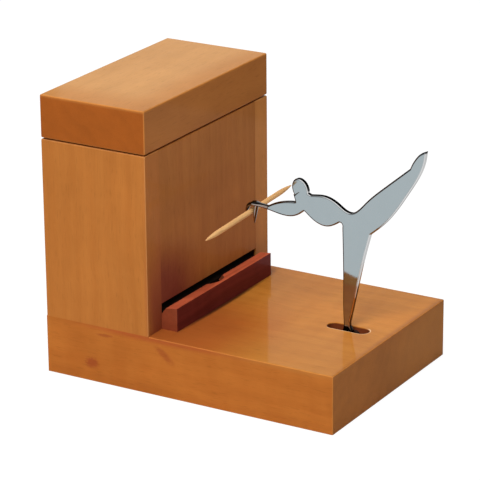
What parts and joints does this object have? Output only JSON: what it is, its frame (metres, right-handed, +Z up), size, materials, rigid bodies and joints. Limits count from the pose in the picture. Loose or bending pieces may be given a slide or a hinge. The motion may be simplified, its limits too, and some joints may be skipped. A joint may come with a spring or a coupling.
{
  "type": "toothpick dispenser",
  "caption": "Wooden toothpick dispenser with a lidded hopper, a low notched tray bar and a flat metal figure that tips forward on a pivot to pick up a toothpick.",
  "frame": {"origin": "centre of the base's flat underside", "axes": "+Z up from the surface it stands on, +X from the hopper end towards the figure's end of the base, Y along the toothpicks"},
  "size_m": [0.1363, 0.088, 0.109],
  "materials": {
    "base_wood": "clear gloss lacquer over honey-stained wood",
    "tower_wood": "clear gloss lacquer over honey-stained wood",
    "lid_wood": "clear gloss lacquer over honey-stained wood",
    "tray_wood": "clear gloss lacquer over cherry-stained wood",
    "inner_wood": "plain sanded wood",
    "dowel_wood": "plain turned wood",
    "cover_wood": "plain plywood",
    "pale_wood": "plain turned wood",
    "polished_metal": "mirror-polished sheet",
    "dark_steel": "dark lacquered steel",
    "pin_steel": "ground steel",
    "washer_plastic": "matte",
    "screw_steel": "zinc-plated steel"
  },
  "bodies": {
    "stand": {"base": "base_wood", "side_panel_near": "tower_wood", "side_panel_far": "tower_wood", "front_panel": "tower_wood", "back_panel": "tower_wood", "hopper_ramp": "inner_wood", "ramp_wedges": "inner_wood", "tray_bar": "tray_wood", "tray_dowels": "dowel_wood", "front_panel_dowels": "dowel_wood", "back_panel_dowels": "dowel_wood", "tower_screws": "screw_steel", "pivot_bracket": "dark_steel", "bracket_screws": "screw_steel", "pivot_pin": "pin_steel", "friction_washers": "washer_plastic", "pocket_cover": "cover_wood", "cover_screws": "screw_steel"},
    "lid": {"lid_board": "lid_wood", "lid_plug": "inner_wood", "lid_screws": "screw_steel"},
    "tipping_figure": {"figure": "polished_metal", "toothpick": "pale_wood"}
  },
  "joints": [
    {"name": "figure_tilt", "type": "hinge", "parent": "stand", "child": "tipping_figure", "pos_m": [0.0436, 0, 0.019], "axis": [0, -1, 0], "range_deg": [0, 30]},
    {"name": "lid_lift", "type": "slide", "parent": "stand", "child": "lid", "axis": [0, 0, 1], "range_m": [0, 0.06]}
  ]
}
